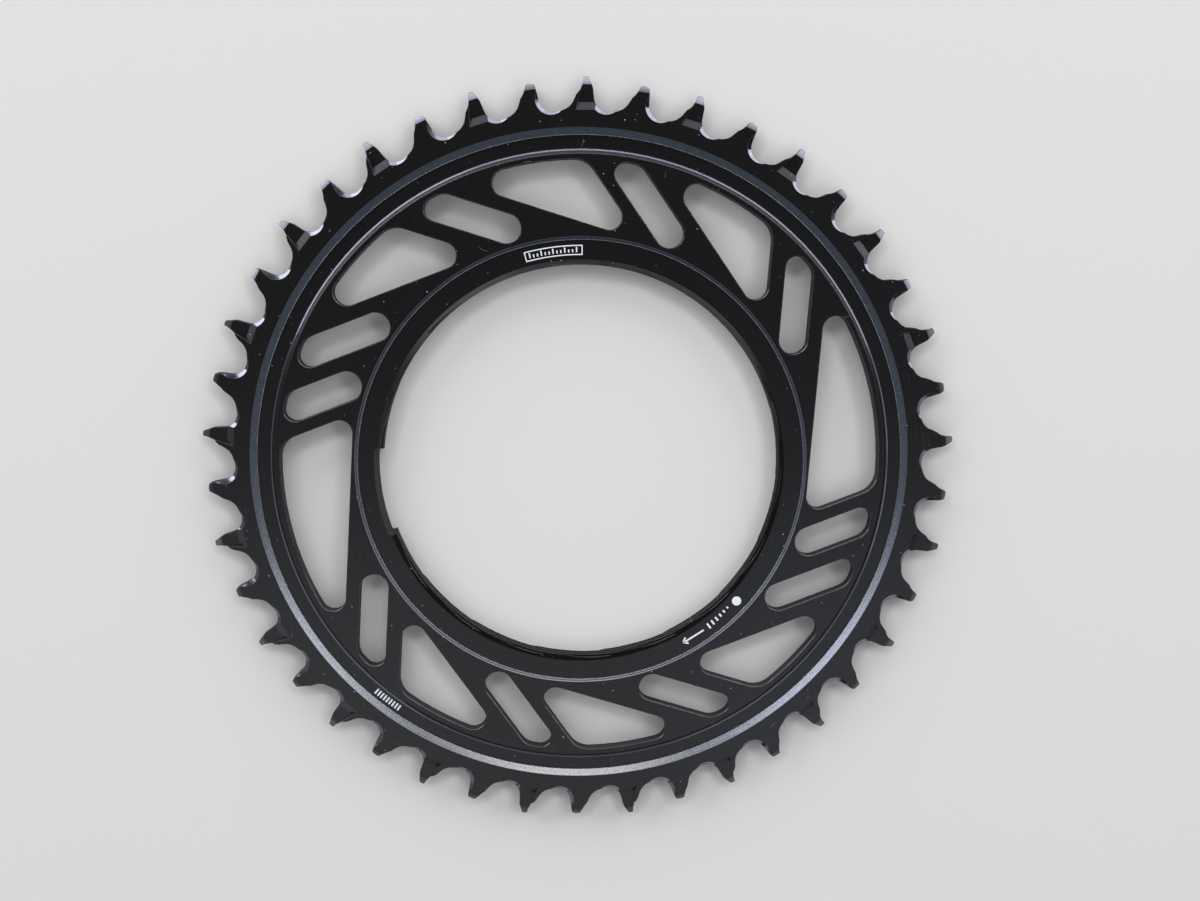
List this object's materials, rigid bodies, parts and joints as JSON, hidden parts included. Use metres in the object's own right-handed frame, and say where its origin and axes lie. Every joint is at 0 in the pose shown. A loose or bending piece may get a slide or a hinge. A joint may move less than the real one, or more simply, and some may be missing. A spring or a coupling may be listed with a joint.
{
  "type": "bicycle chainring",
  "caption": "Black anodised aluminium bicycle chainring with narrow and wide teeth in turn, a web of slanting spokes, and a collar with a steep internal thread for the crank.",
  "frame": {"origin": "On the axis of the bore, in the plane that the back of the collar rests on.", "axes": "+Z is the ring's axis and points out of the printed outer face; +Y is the upper side of the ring in the picture; +X is to the right."},
  "size_m": [0.1769, 0.1766, 0.0044],
  "materials": {
    "black_anodised": "satin black anodised, finely turned"
  },
  "bodies": {
    "root": {"chainring": "black_anodised"}
  },
  "joints": []
}
